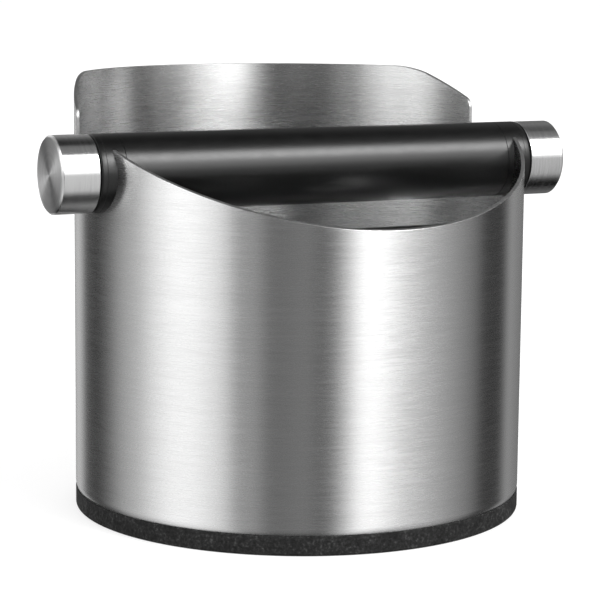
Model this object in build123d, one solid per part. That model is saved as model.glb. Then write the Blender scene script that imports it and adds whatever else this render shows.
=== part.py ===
from build123d import *
import math
import os

# Espresso knock box. Millimetres, +Z up, the knock bar runs along X and the low rim faces -Y.
# The origin is the middle of the footprint, on the surface that the box stands on.

# Canister: one drawn sheet-steel pot, its mouth trimmed to one outline seen from the side.
can_radius = 65.0
can_wall = 1.0
can_corner_radius = 4.5

# Base pad and the film that bonds it to the canister.
pad_height = 5.6
pad_floor = 2.7
pad_clearance = 0.12
pad_edge_radius = 0.9
film_thickness = 0.3
film_margin = 1.5

# Where the bar lies, and how the mouth rises and falls around it.
bar_height = 99.85
bar_offset = -6.7
splash_rise = 25.35
shoulder_drop = 9.4
shoulder_run = 22.0
rim_dip = 12.05
rim_bow = 0.65
rim_slope = 0.4
tip_stand = 2.0275
tip_overhang = 0.1
slot_back = 19.2
lip_angle = 25.0
tip_angle = 36.0
tip_radius = 1.05
lip_radius = 2.5
slot_corner_radius = 4.0
shoulder_radius = 3.5
crest_radius = 25.0

# Knock bar: a rubber sleeve on a steel tube that turns in a slotted rubber bushing at each end,
# and steel caps on studs in plugs.
sleeve_radius = 11.0
groove_skin = 1.2
slot_headroom = 0.5
bushing_lip = 1.5
turning_gap = 0.1
notch_clearance = 0.6
bar_drop = 0.3
wall_gap = 0.35
collar_thickness = 1.75
core_radius = 7.0
core_wall = 2.0
washer_inset = 0.85
washer_thickness = 0.4
cap_radius = 10.95
cap_length = 11.0
cap_chamfer = 0.6
plug_length = 14.0
thread_radius = 3.0
stud_in_cap = 7.0
stud_in_plug = 12.0
thread_runout = 1.0
fit_gap = 0.02

can_floor_height = pad_floor + film_thickness
can_inner_radius = can_radius - can_wall
rear_height = bar_height + splash_rise
core_bore_radius = core_radius - core_wall
groove_floor_radius = core_radius + groove_skin
washer_radius = cap_radius - washer_inset
notch_radius = groove_floor_radius + notch_clearance
notch_height = bar_height + bar_drop
tip_height = notch_height + notch_radius * math.sin(math.radians(tip_angle)) + tip_stand
sleeve_reach = abs(bar_offset) + sleeve_radius
groove_inner = math.sqrt(can_inner_radius**2 - sleeve_reach**2) - wall_gap
groove_outer = can_radius + wall_gap
bushing_start = groove_inner - bushing_lip
bushing_end = groove_outer + collar_thickness
sleeve_end = bushing_start - turning_gap
cap_seat = bushing_end + washer_thickness
beyond = can_radius + 10.0
above = rear_height + 10.0


def pot(radius, corner, floor_height):
    """A closed round pot shape with a rounded bottom edge, taller than the canister."""
    body = Pos(0, 0, floor_height) * Cylinder(
        radius, above - floor_height, align=(Align.CENTER, Align.CENTER, Align.MIN)
    )
    bottom_edge = body.edges().filter_by(GeomType.CIRCLE).sort_by(Axis.Z)[0]
    return fillet(bottom_edge, corner)


def rounded(face, corner, radius):
    """The flat outline with one of its corners rounded."""
    nearest = face.vertices().sort_by_distance((corner[0], corner[1], 0))[0]
    return fillet(nearest, radius)


def mouth_outline():
    """All that is trimmed off the pot, seen from the side: across is Y and up is Z."""
    across = bar_offset
    up = notch_height

    def on_notch(angle):
        turn = math.radians(angle)
        return (across - notch_radius * math.cos(turn), up + notch_radius * math.sin(turn))

    rim_front = (-beyond, bar_height - rim_dip - (beyond - can_radius) * rim_slope)
    notch_top = on_notch(tip_angle)
    tip = (notch_top[0] - tip_overhang, tip_height)
    rim_middle = (
        (rim_front[0] + tip[0]) / 2,
        (rim_front[1] + tip[1]) / 2 + rim_bow,
    )
    notch_bottom = on_notch(-90)
    lip = on_notch(180 + lip_angle)
    slot_foot = (across + slot_back, lip[1])
    shoulder = (slot_foot[0], rear_height - shoulder_drop)
    crest = (shoulder[0] + shoulder_run, rear_height)
    far_crest = (beyond, rear_height)
    outline = [
        ThreePointArc(rim_front, rim_middle, tip),
        Line(tip, notch_top),
        ThreePointArc(notch_top, notch_bottom, lip),
        Polyline(lip, slot_foot, shoulder, crest, far_crest),
        Polyline(far_crest, (beyond, above + 1), (-beyond, above + 1), rim_front),
    ]
    face = make_face(outline)
    corners = (
        (tip, tip_radius),
        (lip, lip_radius),
        (slot_foot, slot_corner_radius),
        (shoulder, shoulder_radius),
        (crest, crest_radius),
    )
    for corner, radius in corners:
        face = rounded(face, corner, radius)
    return face


def canister():
    outside = pot(can_radius, can_corner_radius, can_floor_height)
    inside = pot(can_inner_radius, can_corner_radius - can_wall, can_floor_height + can_wall)
    trimmed_off = extrude(Plane.YZ * mouth_outline(), beyond, both=True)
    return outside - inside - trimmed_off


def base_pad():
    """A rubber boot: a flat floor and a low lip around the rounded bottom of the canister."""
    block = Cylinder(can_radius, pad_height, align=(Align.CENTER, Align.CENTER, Align.MIN))
    foot_edge = block.edges().filter_by(GeomType.CIRCLE).sort_by(Axis.Z)[0]
    block = fillet(foot_edge, pad_edge_radius)
    recess = pot(
        can_radius - can_corner_radius + recess_corner(),
        recess_corner(),
        can_floor_height - pad_clearance,
    )
    film_pocket = Pos(0, 0, pad_floor) * Cylinder(
        film_radius() + pad_clearance,
        pad_height,
        align=(Align.CENTER, Align.CENTER, Align.MIN),
    )
    return block - recess - film_pocket


def recess_corner():
    return can_corner_radius + pad_clearance


def film_radius():
    return can_radius - can_corner_radius - film_margin


def base_film():
    """The bonding film between the pad's floor and the canister's flat bottom."""
    return Pos(0, 0, pad_floor) * Cylinder(
        film_radius(), film_thickness, align=(Align.CENTER, Align.CENTER, Align.MIN)
    )


def turned(radius, start, length, side=1):
    """A round piece on the bar's axis, from start outwards on one side."""
    piece = Rot(0, 90, 0) * Cylinder(
        radius, length, align=(Align.CENTER, Align.CENTER, Align.MIN)
    )
    piece = Pos(start, 0, 0) * piece
    if side < 0:
        piece = Rot(0, 0, 180) * piece
    return Pos(0, bar_offset, bar_height) * piece


def bar_core():
    tube = turned(core_radius, -bushing_end, 2 * bushing_end)
    return tube - turned(core_bore_radius, -bushing_end - 1, 2 * bushing_end + 2)


def bar_sleeve():
    """Plain rubber sleeve pressed onto the tube between the two bushings."""
    sleeve = turned(sleeve_radius, -sleeve_end, 2 * sleeve_end)
    return sleeve - turned(core_radius + fit_gap, -sleeve_end - 1, 2 * sleeve_end + 2)


def bushing(side):
    """Rubber bearing for the tube, slotted from below to sit astride the canister's wall."""
    length = bushing_end - bushing_start
    body = turned(sleeve_radius, bushing_start, length, side)
    body -= turned(core_radius + turning_gap, bushing_start - 1, length + 2, side)
    slot_width = groove_outer - groove_inner
    slot = turned(sleeve_radius + 1, groove_inner, slot_width, side)
    slot -= turned(groove_floor_radius, groove_inner - 1, slot_width + 2, side)
    bridge = Pos(0, 0, tip_height + slot_headroom) * Box(
        2 * beyond, 2 * beyond, beyond, align=(Align.CENTER, Align.CENTER, Align.MIN)
    )
    return body - (slot - bridge)


def plug(side):
    """Threaded bush pressed into one end of the core tube."""
    bush = turned(core_bore_radius - fit_gap, bushing_end - plug_length, plug_length, side)
    return bush - turned(thread_radius, bushing_end - plug_length - 1, plug_length + 2, side)


def stud(side):
    """Headless screw that joins one cap to its plug."""
    start = cap_seat - stud_in_plug
    return turned(thread_radius - fit_gap, start, stud_in_plug + stud_in_cap, side)


def washer(side):
    ring = turned(washer_radius, bushing_end, washer_thickness, side)
    return ring - turned(thread_radius + fit_gap, bushing_end - 1, washer_thickness + 2, side)


def cap(side):
    """Turned steel end cap with a blind thread and a chamfer round its outer edge."""
    body = turned(cap_radius, cap_seat, cap_length, side)
    outer_edge = body.edges().filter_by(GeomType.CIRCLE).sort_by(Axis.X)[-1 if side > 0 else 0]
    body = chamfer(outer_edge, cap_chamfer)
    return body - turned(thread_radius, cap_seat - 1, stud_in_cap + thread_runout + 1, side)


def build():
    pieces = {
        "canister": canister(),
        "base_pad": base_pad(),
        "base_film": base_film(),
        "bar_core": bar_core(),
        "bar_sleeve": bar_sleeve(),
    }
    for name, side in (("left", -1), ("right", 1)):
        pieces[f"{name}_bushing"] = bushing(side)
        pieces[f"{name}_plug"] = plug(side)
        pieces[f"{name}_stud"] = stud(side)
        pieces[f"{name}_washer"] = washer(side)
        pieces[f"{name}_cap"] = cap(side)
    return pieces


os.makedirs("parts", exist_ok=True)
for node, piece in build().items():
    export_step(piece, f"parts/{node}.step")
    print(node, round(piece.volume, 1))
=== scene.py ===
import math

import bmesh
import bpy
from mathutils import Matrix, Vector


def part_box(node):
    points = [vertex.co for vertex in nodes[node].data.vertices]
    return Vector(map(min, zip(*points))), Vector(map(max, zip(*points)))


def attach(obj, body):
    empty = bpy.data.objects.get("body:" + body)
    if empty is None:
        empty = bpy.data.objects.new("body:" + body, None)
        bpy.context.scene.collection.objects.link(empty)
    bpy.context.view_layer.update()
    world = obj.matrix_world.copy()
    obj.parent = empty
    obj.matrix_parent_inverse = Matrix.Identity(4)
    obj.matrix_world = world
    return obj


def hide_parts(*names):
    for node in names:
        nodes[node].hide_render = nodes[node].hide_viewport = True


# Looks of the espresso knock box. Metres, +Z up, the bar runs along X and the low rim faces -Y.

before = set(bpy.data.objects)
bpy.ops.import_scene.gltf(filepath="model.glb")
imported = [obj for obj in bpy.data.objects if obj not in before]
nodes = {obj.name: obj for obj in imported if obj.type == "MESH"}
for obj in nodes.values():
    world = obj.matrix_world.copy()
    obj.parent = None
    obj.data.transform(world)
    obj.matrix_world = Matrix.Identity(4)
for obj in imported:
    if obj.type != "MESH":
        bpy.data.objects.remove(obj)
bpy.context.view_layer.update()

MM = 0.001
HALF_TURN = math.pi
FULL_TURN = 2 * math.pi
ALONG_BAR = Vector((1, 0, 0))

# Places that come from the frame.
pot_low, pot_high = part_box("canister")
pad_low, pad_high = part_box("base_pad")
sleeve_low, sleeve_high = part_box("bar_sleeve")
bushing_low, bushing_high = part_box("right_bushing")
cap_low, cap_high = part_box("right_cap")
washer_low, washer_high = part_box("right_washer")
core_low, core_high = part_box("bar_core")

pot_radius = pot_high.x
pot_floor = pot_low.z
pot_top = pot_high.z
pad_radius = pad_high.x
pad_top = pad_high.z
bar_y = (sleeve_low.y + sleeve_high.y) / 2
bar_z = (sleeve_low.z + sleeve_high.z) / 2
bar_axis = Vector((0, bar_y, bar_z))
sleeve_radius = (sleeve_high.z - sleeve_low.z) / 2
sleeve_end = sleeve_high.x
bushing_start = bushing_low.x
bushing_end = bushing_high.x
core_radius = (core_high.z - core_low.z) / 2
cap_radius = (cap_high.z - cap_low.z) / 2
washer_radius = (washer_high.z - washer_low.z) / 2

# The pot: its wall and the outline of its mouth, seen from the side.
pot_wall = 1.0 * MM
pot_corner = 4.5 * MM
pot_sides = 512
trim_allowance = 5.0 * MM
rim_softness = 0.13 * MM
rim_front_height = bar_z - 12.05 * MM
rim_slope = 0.4
rim_bow = 0.65 * MM
tip_height = bar_z + 7.5 * MM
tip_overhang = 0.1 * MM
tip_angle = math.radians(36)
tip_round = 1.05 * MM
notch_radius = 8.8 * MM
notch_centre = Vector((0, bar_y, bar_z + 0.3 * MM))
shelf_height = notch_centre.z - notch_radius * math.sin(math.radians(25))
lip_round = 2.5 * MM
slot_back = bar_y + 19.2 * MM
slot_round = 4.0 * MM
shoulder_height = pot_top - 9.4 * MM
shoulder_run = 22.0 * MM
shoulder_round = 3.5 * MM
crest_round = 25.0 * MM
cutter_reach = pot_radius + 10 * MM
edge_depth = 4.0 * MM
skin_facing = 0.97

# The foot's edges.
foot_round = 0.9 * MM
lip_softness = 0.3 * MM
hollow_gap = 0.05 * MM
hollow_steps = 6

# The bar's rubber, washers and caps.
bar_sides = 192
smooth_angle = math.radians(35)
turning_gap = 0.1 * MM
slot_floor = 8.2 * MM
slot_inner = bushing_start + 1.5 * MM
slot_outer = bushing_end - 1.75 * MM
slot_top = tip_height + 0.5 * MM
slot_softness = 0.15 * MM
mould_line = 0.12 * MM
seam_round = 0.05 * MM
rubber_round = 0.45 * MM
washer_round = 0.06 * MM
cap_chamfer = 0.6 * MM
cap_edge_round = 0.08 * MM
cap_bore = 3.0 * MM
cap_bore_depth = 8.0 * MM


# ---- hand tools -----------------------------------------------------------------------------


def object_mode():
    if bpy.context.mode != "OBJECT":
        bpy.ops.object.mode_set(mode="OBJECT")


def deselect_all():
    object_mode()
    bpy.ops.object.select_all(action="DESELECT")


def pick_only(piece):
    deselect_all()
    piece.select_set(True)
    bpy.context.view_layer.objects.active = piece


def edit(piece, mode="VERT"):
    pick_only(piece)
    bpy.ops.object.mode_set(mode="EDIT")
    bpy.ops.mesh.select_mode(type=mode)


def at(measure, target):
    """Whether a measure is at its target, to a hundredth of a millimetre."""
    return abs(measure - target) < 0.01 * MM


def select_where(piece, kind, test):
    """In edit mode, selects the vertices, edges or faces whose middle passes the test."""
    work = bmesh.from_edit_mesh(piece.data)
    bpy.ops.mesh.select_all(action="DESELECT")
    for item in getattr(work, kind):
        if kind == "verts":
            place = item.co
        elif kind == "edges":
            place = (item.verts[0].co + item.verts[1].co) / 2
        else:
            place = item.calc_center_median()
        if test(place):
            item.select_set(True)
    work.select_flush_mode()
    bmesh.update_edit_mesh(piece.data)


def begin_line(name, point):
    """One vertex at a point, in edit mode and selected: the start of a drawn line."""
    deselect_all()
    bpy.ops.mesh.primitive_plane_add(size=MM, location=point)
    piece = bpy.context.object
    piece.name = name
    piece.data.name = name
    bpy.ops.object.transform_apply(location=True, rotation=True, scale=True)
    edit(piece)
    bpy.ops.mesh.select_all(action="SELECT")
    bpy.ops.mesh.merge(type="CENTER")
    return piece


def line_to(piece, point):
    """Extrudes the selected vertex to a point."""
    work = bmesh.from_edit_mesh(piece.data)
    here = next(v.co.copy() for v in work.verts if v.select)
    bpy.ops.mesh.extrude_vertices_move(TRANSFORM_OT_translate={"value": Vector(point) - here})


def arc_about(centre, angle, steps):
    """Extrudes the selected vertex along an arc about a line parallel to the bar."""
    bpy.ops.mesh.spin(steps=steps, angle=-angle, center=centre, axis=ALONG_BAR)


def round_corner(piece, corner, radius, before, after, segments):
    """Rounds the corner of a drawn line between the directions to its two neighbours."""
    corner = Vector(corner)
    opening = (Vector(before) - corner).angle(Vector(after) - corner)
    select_where(piece, "verts", lambda place: at((place - corner).length, 0))
    bpy.ops.mesh.bevel(
        offset=radius / math.tan(opening / 2),
        offset_type="OFFSET",
        segments=segments,
        affect="VERTICES",
        clamp_overlap=False,
    )


def close_face():
    bpy.ops.mesh.select_all(action="SELECT")
    bpy.ops.mesh.edge_face_add()


def merge_and_face_out():
    bpy.ops.mesh.select_all(action="SELECT")
    bpy.ops.mesh.remove_doubles(threshold=0.002 * MM)
    bpy.ops.mesh.normals_make_consistent(inside=False)


def apply_modifier(piece, kind, **settings):
    pick_only(piece)
    modifier = piece.modifiers.new(kind.lower(), kind)
    for key, value in settings.items():
        setattr(modifier, key, value)
    bpy.ops.object.modifier_apply(modifier=modifier.name)


def smooth(piece):
    """Smooth shading between flat faces, with crisp edges kept."""
    pick_only(piece)
    bpy.ops.object.shade_smooth_by_angle(angle=smooth_angle)
    apply_modifier(piece, "WEIGHTED_NORMAL", keep_sharp=True)


def lathe(name, section, rounds):
    """Spins a closed section of (x, radius) points about the bar's axis.

    rounds gives a radius and a number of segments for the corners that are rounded.
    """
    points = [bar_axis + Vector((x, 0, radius)) for x, radius in section]
    piece = begin_line(name, points[0])
    for point in points[1:]:
        line_to(piece, point)
    close_face()
    for index, (radius, segments) in rounds.items():
        before = points[index - 1]
        after = points[(index + 1) % len(points)]
        round_corner(piece, points[index], radius, before, after, segments)
    bpy.ops.mesh.select_all(action="SELECT")
    bpy.ops.mesh.delete(type="ONLY_FACE")
    bpy.ops.mesh.select_all(action="SELECT")
    bpy.ops.mesh.spin(steps=bar_sides, angle=FULL_TURN, center=bar_axis, axis=ALONG_BAR)
    merge_and_face_out()
    smooth(piece)
    return piece


def other_side(piece, name):
    """The same piece for the bar's other end, with a mesh of its own."""
    pick_only(piece)
    bpy.ops.object.duplicate()
    copy = bpy.context.object
    copy.name = name
    copy.data.name = name
    edit(copy)
    bpy.ops.mesh.select_all(action="SELECT")
    bpy.ops.transform.rotate(value=HALF_TURN, orient_axis="Z", center_override=bar_axis)
    object_mode()
    return copy


# ---- pieces ---------------------------------------------------------------------------------


def mouth_cutter():
    """The block that trims the pot's mouth: its outline in the YZ plane, drawn out along X."""
    side = Vector((-cutter_reach, 0, 0))
    front_drop = (cutter_reach - pot_radius) * rim_slope
    front = side + Vector((0, -cutter_reach, rim_front_height - front_drop))
    towards_tip = Vector((0, -math.cos(tip_angle), math.sin(tip_angle)))
    notch_start = side + notch_centre + notch_radius * towards_tip
    tip = Vector((side.x, notch_start.y - tip_overhang, tip_height))
    chord = tip - front
    bow_radius = (chord.length / 2) ** 2 / (2 * rim_bow) + rim_bow / 2
    bow_angle = 2 * math.asin(chord.length / 2 / bow_radius)
    below = chord.cross(ALONG_BAR).normalized()
    bow_centre = (front + tip) / 2 + below * (bow_radius - rim_bow) * (-1 if below.z > 0 else 1)

    lip_drop = notch_centre.z - shelf_height + lip_round
    lip_reach = math.sqrt((notch_radius + lip_round) ** 2 - lip_drop**2)
    lip_centre = Vector((side.x, bar_y + lip_reach, shelf_height - lip_round))
    lip_below = math.asin(lip_drop / (notch_radius + lip_round))

    piece = begin_line("mouth_cutter", front)
    arc_about(bow_centre, -bow_angle, 40)
    line_to(piece, notch_start)
    arc_about(side + notch_centre, HALF_TURN + tip_angle - lip_below, 72)
    arc_about(lip_centre, -(HALF_TURN / 2 - lip_below), 10)
    slot_foot = Vector((side.x, slot_back, shelf_height))
    shoulder = Vector((side.x, slot_back, shoulder_height))
    crest = Vector((side.x, slot_back + shoulder_run, pot_top))
    far_crest = Vector((side.x, cutter_reach, pot_top))
    above = pot_top + 10 * MM
    for point in (slot_foot, shoulder, crest, far_crest):
        line_to(piece, point)
    line_to(piece, (side.x, cutter_reach, above))
    line_to(piece, (side.x, -cutter_reach, above))
    close_face()
    round_corner(piece, tip, tip_round, front, notch_start, 8)
    round_corner(piece, slot_foot, slot_round, lip_centre + Vector((0, 0, lip_round)), shoulder, 10)
    round_corner(piece, shoulder, shoulder_round, slot_foot, crest, 10)
    round_corner(piece, crest, crest_round, shoulder, far_crest, 24)
    bpy.ops.mesh.select_all(action="SELECT")
    bpy.ops.mesh.extrude_region_move(TRANSFORM_OT_translate={"value": (2 * cutter_reach, 0, 0)})
    merge_and_face_out()
    object_mode()
    return piece


def make_pot():
    """Drawn pot: a tube with a rounded bottom edge and a wall, trimmed by the mouth's outline."""
    height = pot_top + trim_allowance - pot_floor
    deselect_all()
    bpy.ops.mesh.primitive_cylinder_add(
        vertices=pot_sides,
        radius=pot_radius,
        depth=height,
        end_fill_type="NGON",
        location=(0, 0, pot_floor + height / 2),
    )
    piece = bpy.context.object
    piece.name = "pot_shell"
    piece.data.name = "pot_shell"
    bpy.ops.object.transform_apply(location=True, rotation=True, scale=True)
    edit(piece, "FACE")
    select_where(piece, "faces", lambda place: place.z > pot_top)
    bpy.ops.mesh.delete(type="FACE")
    bpy.ops.mesh.select_mode(type="EDGE")
    select_where(piece, "edges", lambda place: at(place.z, pot_floor))
    bpy.ops.mesh.bevel(offset=pot_corner, offset_type="OFFSET", segments=12, affect="EDGES")
    object_mode()
    apply_modifier(piece, "SOLIDIFY", thickness=pot_wall, offset=-1, use_even_offset=True)
    cutter = mouth_cutter()
    apply_modifier(piece, "BOOLEAN", operation="DIFFERENCE", solver="EXACT", object=cutter)
    bpy.data.objects.remove(cutter)
    edit(piece)
    merge_and_face_out()
    object_mode()
    apply_modifier(
        piece,
        "BEVEL",
        width=rim_softness,
        segments=3,
        limit_method="ANGLE",
        angle_limit=math.radians(55),
        use_clamp_overlap=False,
    )
    smooth(piece)
    return piece


def give_edge(piece, material):
    """Puts a second material on the sheared edge all round the pot's mouth."""
    piece.data.materials.append(material)
    edit(piece, "FACE")
    work = bmesh.from_edit_mesh(piece.data)
    bpy.ops.mesh.select_all(action="DESELECT")
    for face in work.faces:
        middle = face.calc_center_median()
        across_wall = Vector((middle.x, middle.y, 0)).normalized()
        at_mouth = middle.z > rim_front_height - edge_depth
        if at_mouth and abs(face.normal.dot(across_wall)) < skin_facing:
            face.select_set(True)
    bmesh.update_edit_mesh(piece.data)
    piece.active_material_index = 1
    bpy.ops.object.material_slot_assign()
    object_mode()


def pot_corner_radius(level):
    """Outside radius of the pot's rounded bottom corner at a height."""
    below_centre = pot_corner - (level - pot_floor)
    return pot_radius - pot_corner + math.sqrt(max(pot_corner**2 - below_centre**2, 0))


def make_pad():
    """Foam-rubber foot: a low lip round the pot's rounded corner, a soft lower edge, a flat floor."""
    deselect_all()
    bpy.ops.mesh.primitive_cylinder_add(
        vertices=384,
        radius=pad_radius,
        depth=pad_top,
        end_fill_type="NGON",
        location=(0, 0, pad_top / 2),
    )
    piece = bpy.context.object
    piece.name = "foot_pad"
    piece.data.name = "foot_pad"
    bpy.ops.object.transform_apply(location=True, rotation=True, scale=True)
    edit(piece, "FACE")
    lip_radius = pot_corner_radius(pad_top) + hollow_gap
    select_where(piece, "faces", lambda place: at(place.z, pad_top))
    bpy.ops.mesh.inset(thickness=pad_radius - lip_radius)
    step_down = (pad_top - pot_floor + hollow_gap) / hollow_steps
    for step in range(1, hollow_steps + 1):
        level = pad_top - step_down * step
        inner = pot_corner_radius(level) + hollow_gap
        bpy.ops.mesh.extrude_region_move(TRANSFORM_OT_translate={"value": (0, 0, -step_down)})
        scale = inner / lip_radius
        bpy.ops.transform.resize(value=(scale, scale, 1), center_override=(0, 0, level))
        lip_radius = inner
    bpy.ops.mesh.select_mode(type="EDGE")
    select_where(piece, "edges", lambda place: at(place.z, 0) and place.xy.length > 0.9 * pad_radius)
    bpy.ops.mesh.bevel(offset=foot_round, offset_type="OFFSET", segments=5, affect="EDGES")
    select_where(
        piece, "edges", lambda place: at(place.z, pad_top) and place.xy.length > 0.999 * pad_radius
    )
    bpy.ops.mesh.bevel(offset=lip_softness, offset_type="OFFSET", segments=3, affect="EDGES")
    object_mode()
    smooth(piece)
    return piece


def make_sleeve():
    """Plain rubber sleeve between the bushings, with a fine seam at each end."""
    bore = core_radius + 0.02 * MM
    section = [
        (-sleeve_end, bore),
        (-sleeve_end, sleeve_radius),
        (sleeve_end, sleeve_radius),
        (sleeve_end, bore),
    ]
    return lathe("rubber_sleeve", section, {1: (seam_round, 3), 2: (seam_round, 3)})


def make_bushing():
    """Rubber end bushing. The frame's bushing has a slot from below for the pot's wall.

    The cut here does not open that slot: the outside stays whole, and stray faces are left inside.
    """
    bore = core_radius + turning_gap
    section = [
        (bushing_start, bore),
        (bushing_start, sleeve_radius),
        (slot_outer - mould_line, sleeve_radius),
        (slot_outer, sleeve_radius - mould_line),
        (slot_outer + mould_line, sleeve_radius),
        (bushing_end, sleeve_radius),
        (bushing_end, bore),
    ]
    piece = lathe("right_end_bushing", section, {1: (seam_round, 3), 5: (rubber_round, 4)})
    beyond = sleeve_radius + 1 * MM
    cutter = lathe(
        "slot_cutter",
        [(slot_inner, slot_floor), (slot_inner, beyond), (slot_outer, beyond), (slot_outer, slot_floor)],
        {},
    )
    edit(cutter)
    bpy.ops.mesh.select_all(action="SELECT")
    bpy.ops.mesh.bisect(plane_co=(0, 0, slot_top), plane_no=(0, 0, 1), use_fill=True, clear_outer=True)
    merge_and_face_out()
    object_mode()
    apply_modifier(piece, "BOOLEAN", operation="DIFFERENCE", solver="EXACT", object=cutter)
    bpy.data.objects.remove(cutter)
    edit(piece)
    merge_and_face_out()
    object_mode()
    apply_modifier(
        piece,
        "BEVEL",
        width=slot_softness,
        segments=2,
        limit_method="ANGLE",
        angle_limit=math.radians(50),
    )
    smooth(piece)
    return piece


def make_washer():
    """Thin black washer between the bushing and the cap."""
    bore = cap_bore + 0.02 * MM
    section = [
        (washer_low.x, bore),
        (washer_low.x, washer_radius),
        (washer_high.x, washer_radius),
        (washer_high.x, bore),
    ]
    rounds = {1: (washer_round, 2), 2: (washer_round, 2)}
    return lathe("right_spacer", section, rounds)


def make_cap():
    """Turned steel cap: a blind bore inside, a chamfer round its face."""
    inside = cap_low.x
    outside = cap_high.x
    tool_mark = 0.02 * MM
    centre_mark = 0.4 * MM
    section = [
        (inside, cap_bore),
        (inside, cap_radius),
        (outside - cap_chamfer, cap_radius),
        (outside, cap_radius - cap_chamfer),
        (outside, centre_mark),
        (outside - tool_mark, 0),
        (inside + cap_bore_depth, 0),
        (inside + cap_bore_depth, cap_bore),
    ]
    rounds = {
        1: (cap_edge_round * 2, 3),
        2: (cap_edge_round, 2),
        3: (cap_edge_round, 2),
    }
    return lathe("right_end_cap", section, rounds)


# ---- materials ------------------------------------------------------------------------------


class Look:
    """A material being wired: nodes are added and joined in short lines."""

    def __init__(self, name, roughness, metallic=0.0):
        self.material = bpy.data.materials.new(name)
        self.material.use_nodes = True
        self.tree = self.material.node_tree
        self.surface = self.tree.nodes["Principled BSDF"]
        self.surface.inputs["Metallic"].default_value = metallic
        self.surface.inputs["Roughness"].default_value = roughness
        self.place = self.add("ShaderNodeTexCoord").outputs["Object"]

    def add(self, kind, **settings):
        node = self.tree.nodes.new(kind)
        for key, value in settings.items():
            setattr(node, key, value)
        return node

    def join(self, source, target):
        self.tree.links.new(source, target)

    def math(self, operation, first, second=None):
        node = self.add("ShaderNodeMath", operation=operation)
        for socket, value in zip(node.inputs, (first, second)):
            if isinstance(value, bpy.types.NodeSocket):
                self.join(value, socket)
            elif value is not None:
                socket.default_value = value
        return node.outputs[0]

    def scaled(self, scale, shift=(0, 0, 0)):
        node = self.add("ShaderNodeMapping")
        self.join(self.place, node.inputs["Vector"])
        node.inputs["Scale"].default_value = scale
        node.inputs["Location"].default_value = shift
        return node.outputs["Vector"]

    def noise(self, place, detail=2.0, roughness=0.5):
        node = self.add("ShaderNodeTexNoise")
        self.join(place, node.inputs["Vector"])
        node.inputs["Scale"].default_value = 1.0
        node.inputs["Detail"].default_value = detail
        node.inputs["Roughness"].default_value = roughness
        return node.outputs["Fac"]

    def between(self, value, low, high, out_low, out_high):
        node = self.add("ShaderNodeMapRange")
        self.join(value, node.inputs["Value"])
        ends = {"From Min": low, "From Max": high, "To Min": out_low, "To Max": out_high}
        for key, number in ends.items():
            node.inputs[key].default_value = number
        return node.outputs["Result"]

    def colours(self, value, stops):
        node = self.add("ShaderNodeValToRGB")
        self.join(value, node.inputs["Fac"])
        ramp = node.color_ramp
        ramp.elements[0].position, ramp.elements[-1].position = stops[0][0], stops[-1][0]
        for place, _ in stops[1:-1]:
            ramp.elements.new(place)
        for element, (_, colour) in zip(ramp.elements, stops):
            element.color = (*colour, 1)
        return node.outputs["Color"]

    def bump(self, height, depth):
        node = self.add("ShaderNodeBump")
        node.inputs["Strength"].default_value = 1.0
        node.inputs["Distance"].default_value = depth
        self.join(height, node.inputs["Height"])
        self.join(node.outputs["Normal"], self.surface.inputs["Normal"])


def grey(level):
    return (level, level, level)


def brush_round(look, axis):
    """Stretches the steel's highlights across a grain that runs round an axis."""
    look.surface.inputs["Anisotropic"].default_value = 0.8
    look.surface.inputs["Anisotropic Rotation"].default_value = 0.25
    grain_way = look.add("ShaderNodeTangent", direction_type="RADIAL", axis=axis)
    look.join(grain_way.outputs["Tangent"], look.surface.inputs["Tangent"])


def pot_steel():
    """Brushed steel: fine, middling and broad streaks that run round the pot."""
    look = Look("brushed_pot_steel", 0.27, metallic=1.0)
    total = None
    for scale, weight in (((150, 150, 3200), 0.5), ((45, 45, 1500), 0.3), ((9, 9, 240), 0.2)):
        streaks = look.noise(look.scaled(scale), detail=3.0, roughness=0.6)
        part = look.math("MULTIPLY", streaks, weight)
        total = part if total is None else look.math("ADD", total, part)
    look.join(
        look.colours(total, [(0.36, grey(0.768)), (0.5, grey(0.8)), (0.64, grey(0.824))]),
        look.surface.inputs["Base Color"],
    )
    look.join(look.between(total, 0.35, 0.65, 0.24, 0.3), look.surface.inputs["Roughness"])
    look.bump(total, 0.006 * MM)
    brush_round(look, "Z")
    return look.material


def edge_steel():
    """The cut edge of the sheet: fine marks, no brushed grain."""
    look = Look("cut_edge_steel", 0.45, metallic=1.0)
    marks = look.noise(look.scaled((500, 500, 500)), detail=2.0)
    look.join(
        look.colours(marks, [(0.3, grey(0.38)), (0.7, grey(0.44))]), look.surface.inputs["Base Color"]
    )
    look.join(look.between(marks, 0.3, 0.7, 0.42, 0.48), look.surface.inputs["Roughness"])
    look.bump(marks, 0.001 * MM)
    return look.material


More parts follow.
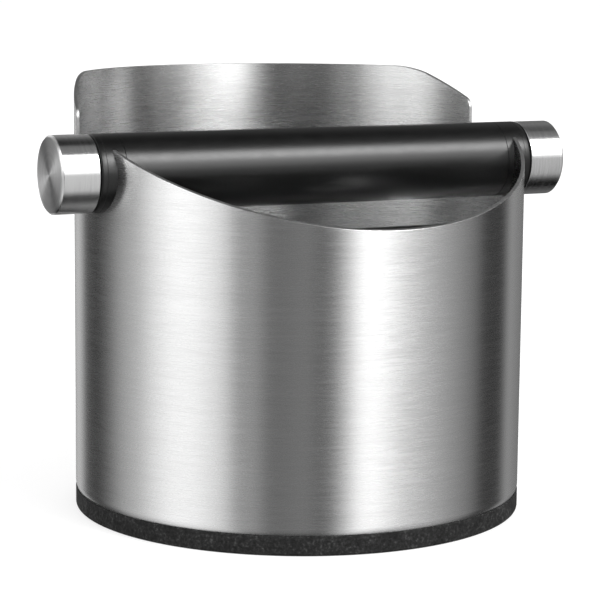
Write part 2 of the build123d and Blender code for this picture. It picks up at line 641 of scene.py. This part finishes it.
def cap_steel():
    """Turned steel: the grain runs round the bar's axis, as rings on the face."""
    look = Look("turned_cap_steel", 0.26, metallic=1.0)
    centred = look.scaled((1, 1, 1), shift=(0, -bar_y, -bar_z))
    split = look.add("ShaderNodeSeparateXYZ")
    look.join(centred, split.inputs["Vector"])
    across, along_y, along_z = split.outputs
    radius = look.math(
        "SQRT",
        look.math("ADD", look.math("MULTIPLY", along_y, along_y), look.math("MULTIPLY", along_z, along_z)),
    )
    rings = look.add("ShaderNodeCombineXYZ")
    for measure, fineness, socket in ((across, 2200, "X"), (radius, 2200, "Y"), (along_z, 60, "Z")):
        look.join(look.math("MULTIPLY", measure, fineness), rings.inputs[socket])
    grain = look.noise(rings.outputs["Vector"], detail=3.0, roughness=0.6)
    look.join(
        look.colours(grain, [(0.3, grey(0.64)), (0.5, grey(0.70)), (0.7, grey(0.76))]),
        look.surface.inputs["Base Color"],
    )
    from_middle = look.math("ABSOLUTE", across)
    on_face = look.between(from_middle, cap_high.x - 0.4 * MM, cap_high.x - 0.1 * MM, 0, 1)
    side_gloss = look.between(grain, 0.3, 0.7, 0.2, 0.27)
    look.join(
        look.math("ADD", side_gloss, look.math("MULTIPLY", on_face, 0.22)),
        look.surface.inputs["Roughness"],
    )
    look.bump(grain, 0.004 * MM)
    brush_round(look, "X")
    return look.material


def inner_steel(name, tone, roughness):
    """Plain turned or drawn steel for the pieces inside the bar."""
    look = Look(name, roughness, metallic=1.0)
    marks = look.noise(look.scaled((2500, 90, 90)), detail=2.0)
    look.join(
        look.colours(marks, [(0.3, grey(tone * 0.8)), (0.7, grey(tone * 1.1))]),
        look.surface.inputs["Base Color"],
    )
    gloss = look.between(marks, 0.3, 0.7, roughness - 0.06, roughness + 0.06)
    look.join(gloss, look.surface.inputs["Roughness"])
    look.bump(marks, 0.01 * MM)
    return look.material


def threaded_steel():
    """Stud steel with the thread's turns as a fine wave along the bar; the grooves carry painted shade and
    the crests a lighter tone.
    """
    look = Look("stud_thread_steel", 0.32, metallic=1.0)
    pitch = 1.0 * MM
    wave = look.add("ShaderNodeTexWave", wave_type="BANDS", bands_direction="X", wave_profile="TRI")
    look.join(look.place, wave.inputs["Vector"])
    wave.inputs["Scale"].default_value = FULL_TURN / 20 / pitch
    # painted shade: the colour follows the bump's wave, darker in the thread's grooves and lighter on its
    # crests
    look.join(
        look.colours(wave.outputs["Fac"], [(0.1, grey(0.3)), (0.9, grey(0.56))]),
        look.surface.inputs["Base Color"],
    )
    look.bump(wave.outputs["Fac"], 0.3 * MM)
    return look.material


def sleeve_rubber():
    look = Look("satin_black_rubber", 0.3)
    mottle = look.noise(look.scaled((260, 420, 420)), detail=4.0, roughness=0.6)
    fine = look.noise(look.scaled((1600, 1600, 1600)), detail=2.0)
    both = look.math("ADD", look.math("MULTIPLY", mottle, 0.55), look.math("MULTIPLY", fine, 0.45))
    look.join(
        look.colours(both, [(0.35, grey(0.0020)), (0.65, grey(0.0045))]), look.surface.inputs["Base Color"]
    )
    look.join(look.between(both, 0.35, 0.65, 0.28, 0.34), look.surface.inputs["Roughness"])
    look.surface.inputs["IOR"].default_value = 1.48
    look.bump(both, 0.012 * MM)
    return look.material


def pad_foam():
    """Closed-cell foam rubber: near-black with lighter specks and a pebbled skin."""
    look = Look("speckled_foam_rubber", 0.85)
    specks = look.noise(look.scaled((1150, 1150, 1150)), detail=3.0, roughness=0.65)
    patches = look.noise(look.scaled((190, 190, 190)), detail=2.0)
    both = look.math("ADD", look.math("MULTIPLY", specks, 0.75), look.math("MULTIPLY", patches, 0.25))
    look.join(
        look.colours(
            both,
            [(0.36, grey(0.004)), (0.48, grey(0.009)), (0.56, grey(0.016)), (0.66, grey(0.050))],
        ),
        look.surface.inputs["Base Color"],
    )
    look.join(look.between(both, 0.35, 0.65, 0.9, 0.75), look.surface.inputs["Roughness"])
    look.surface.inputs["IOR"].default_value = 1.4
    look.bump(both, 0.12 * MM)
    return look.material


def washer_fibre():
    look = Look("black_fibre", 0.7)
    fibres = look.noise(look.scaled((900, 900, 300)), detail=3.0)
    look.join(
        look.colours(fibres, [(0.3, grey(0.006)), (0.7, grey(0.014))]), look.surface.inputs["Base Color"]
    )
    look.join(look.between(fibres, 0.3, 0.7, 0.6, 0.8), look.surface.inputs["Roughness"])
    look.bump(fibres, 0.01 * MM)
    return look.material


def film_adhesive():
    look = Look("bond_film", 0.4)
    clouds = look.noise(look.scaled((120, 120, 120)), detail=3.0)
    look.join(
        look.colours(clouds, [(0.3, (0.66, 0.65, 0.6)), (0.7, (0.78, 0.77, 0.72))]),
        look.surface.inputs["Base Color"],
    )
    look.join(look.between(clouds, 0.3, 0.7, 0.3, 0.5), look.surface.inputs["Roughness"])
    look.bump(clouds, 0.02 * MM)
    return look.material


def give(piece, material):
    piece.data.materials.clear()
    piece.data.materials.append(material)


# ---- studio ---------------------------------------------------------------------------------

# Brightness of the room as the eye sees it, by bearing: 0 is the front, positive towards +X.
ROOM = [
    (-180, 0.72),
    (-172, 0.66),
    (-163, 0.28),
    (-148, 0.20),
    (-138, 0.36),
    (-125, 0.60),
    (-113, 0.69),
    (-101, 0.86),
    (-91, 0.93),
    (-79, 0.92),
    (-68, 0.84),
    (-62, 0.78),
    (-55, 0.53),
    (-47, 0.56),
    (-39, 0.38),
    (-28, 0.42),
    (-20, 0.45),
    (-13, 0.33),
    (-7, 0.40),
    (0, 0.70),
    (7, 0.96),
    (14, 0.95),
    (21, 0.84),
    (30, 0.69),
    (44, 0.65),
    (76, 0.42),
    (84, 0.22),
    (102, 0.20),
    (112, 0.56),
    (123, 0.48),
    (155, 0.34),
    (180, 0.72),
]
DISPLAY_CURVE = 2.2
room_gain = 1.18
upper_lift = 2.2
key_edge = 2.2
key_heart = 12.0
overhead_gain = 0.2
rear_fill = 0.4


def make_studio():
    """Soft boxes and dark flags all round, a large box in front and above, a white backdrop."""
    world = bpy.data.worlds.new("studio")
    bpy.context.scene.world = world
    world.use_nodes = True
    tree = world.node_tree
    add = tree.nodes.new
    join = tree.links.new

    def number(operation, first, second=None, third=None):
        node = add("ShaderNodeMath")
        node.operation = operation
        for socket, value in zip(node.inputs, (first, second, third)):
            if isinstance(value, bpy.types.NodeSocket):
                join(value, socket)
            elif value is not None:
                socket.default_value = value
        return node.outputs[0]

    def window(value, low, high, feather):
        """1 between low and high, falling to 0 over a feather outside them."""
        parts = []
        for edge, outside in ((low, low - feather), (high, high + feather)):
            node = add("ShaderNodeMapRange")
            node.interpolation_type = "SMOOTHSTEP"
            join(value, node.inputs["Value"])
            node.inputs["From Min"].default_value = outside
            node.inputs["From Max"].default_value = edge
            parts.append(node.outputs["Result"])
        return number("MULTIPLY", *parts)

    direction = add("ShaderNodeSeparateXYZ")
    join(add("ShaderNodeTexCoord").outputs["Generated"], direction.inputs["Vector"])
    x, y, z = direction.outputs
    bearing = number("MULTIPLY", number("ARCTAN2", x, number("MULTIPLY", y, -1)), 180 / math.pi)
    height = number("MULTIPLY", number("ARCSINE", z), 180 / math.pi)

    ring = add("ShaderNodeValToRGB")
    join(number("MULTIPLY_ADD", bearing, 1 / 360, 0.5), ring.inputs["Fac"])
    ramp = ring.color_ramp
    ramp.elements[0].position, ramp.elements[-1].position = 0, 1
    for angle, _ in ROOM[1:-1]:
        ramp.elements.new(angle / 360 + 0.5)
    for element, (_, level) in zip(ramp.elements, ROOM):
        element.color = (*grey(level**DISPLAY_CURVE), 1)

    over_bar = number("MULTIPLY", number("ARCTAN2", z, number("MULTIPLY", y, -1)), 180 / math.pi)
    band = number("MULTIPLY_ADD", window(height, -38, 40, 22), 0.93, 0.07)
    level = number("MULTIPLY", ring.outputs["Color"], 1)  # one number from the ramp's grey
    lift = number("MULTIPLY", window(height, 12, 40, 10), upper_lift)
    room = number("MULTIPLY", number("MULTIPLY", level, band), number("MULTIPLY_ADD", level, lift, 1))
    box = window(x, 0.3, 0.52, 0.11)
    edge = number("MULTIPLY", box, window(over_bar, 16, 61, 5))
    heart = number("MULTIPLY", box, window(over_bar, 42, 50, 14))
    overhead = window(over_bar, 70, 92, 8)
    behind = number("MULTIPLY", window(bearing, -170, -138, 8), window(height, 12, 50, 8))
    total = number("MULTIPLY", room, room_gain)
    lamps = ((edge, key_edge), (heart, key_heart), (overhead, overhead_gain), (behind, rear_fill))
    for lamp, gain in lamps:
        total = number("MULTIPLY_ADD", lamp, gain, total)

    rays = add("ShaderNodeLightPath")
    for_diffuse = number("MAXIMUM", rays.outputs["Is Diffuse Ray"], rays.outputs["Is Camera Ray"])
    seen = add("ShaderNodeMix")
    seen.data_type = "FLOAT"
    join(for_diffuse, seen.inputs[0])
    join(total, seen.inputs[2])
    seen.inputs[3].default_value = 1.02

    background = tree.nodes["Background"]
    background.inputs["Color"].default_value = (1, 1, 1, 1)
    join(seen.outputs[0], background.inputs["Strength"])


def make_floor():
    deselect_all()
    bpy.ops.mesh.primitive_plane_add(size=6, location=(0, 0, 0))
    floor = bpy.context.object
    floor.name = "studio_floor"
    look = Look("pale_floor", 0.9)
    look.surface.inputs["Base Color"].default_value = (0.36, 0.36, 0.36, 1)
    look.surface.inputs["Specular IOR Level"].default_value = 0
    look.surface.inputs["Emission Color"].default_value = (1, 1, 1, 1)
    look.surface.inputs["Emission Strength"].default_value = 0.67
    give(floor, look.material)
    floor.visible_glossy = False


def make_camera():
    """A long lens, a little above the bar and 25 degrees round to the left of the front."""
    round_left = math.radians(25.0)
    above = math.radians(8.93)
    distance = 683.8 * MM
    aim_height = 59.77 * MM
    aim_right = 0.52 * MM
    roll = math.radians(0.525)
    back = Vector(
        (
            -math.sin(round_left) * math.cos(above),
            -math.cos(round_left) * math.cos(above),
            math.sin(above),
        )
    )
    right = Vector((math.cos(round_left), -math.sin(round_left), 0))
    up = back.cross(right)
    place = right * aim_right + Vector((0, 0, aim_height)) + back * distance
    rolled_right = math.cos(roll) * right + math.sin(roll) * up
    rolled_up = -math.sin(roll) * right + math.cos(roll) * up
    data = bpy.data.cameras.new("camera")
    camera = bpy.data.objects.new("camera", data)
    bpy.context.scene.collection.objects.link(camera)
    data.sensor_width = 36
    data.lens = 140.28
    data.clip_start = 0.01
    data.clip_end = 20
    axes = Matrix((rolled_right, rolled_up, back)).transposed()
    camera.matrix_world = Matrix.Translation(place) @ axes.to_4x4()
    bpy.context.scene.camera = camera


# ---- the whole box --------------------------------------------------------------------------

make_camera()
make_studio()
make_floor()

pot = make_pot()
give(pot, pot_steel())
give_edge(pot, edge_steel())
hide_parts("canister")
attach(pot, "bin")

pad = make_pad()
give(pad, pad_foam())
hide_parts("base_pad")
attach(pad, "bin")

rubber = sleeve_rubber()
sleeve = make_sleeve()
give(sleeve, rubber)
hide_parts("bar_sleeve")
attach(sleeve, "knock_bar")

right_end_bushing = make_bushing()
left_end_bushing = other_side(right_end_bushing, "left_end_bushing")
for end_bushing, node in ((left_end_bushing, "left_bushing"), (right_end_bushing, "right_bushing")):
    give(end_bushing, rubber)
    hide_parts(node)
    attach(end_bushing, "bar_carrier")

fibre = washer_fibre()
right_spacer = make_washer()
left_spacer = other_side(right_spacer, "left_spacer")
for spacer, node in ((left_spacer, "left_washer"), (right_spacer, "right_washer")):
    give(spacer, fibre)
    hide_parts(node)
    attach(spacer, "bar_carrier")

turned = cap_steel()
right_end_cap = make_cap()
left_end_cap = other_side(right_end_cap, "left_end_cap")
for end_cap, node in ((left_end_cap, "left_cap"), (right_end_cap, "right_cap")):
    give(end_cap, turned)
    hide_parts(node)
    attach(end_cap, "knock_bar")

give(nodes["base_film"], film_adhesive())
give(nodes["bar_core"], inner_steel("drawn_tube_steel", 0.55, 0.35))
plug_look = inner_steel("turned_plug_steel", 0.5, 0.3)
stud_look = threaded_steel()
for side in ("left", "right"):
    give(nodes[f"{side}_plug"], plug_look)
    give(nodes[f"{side}_stud"], stud_look)

bpy.context.scene.view_settings.view_transform = "Standard"
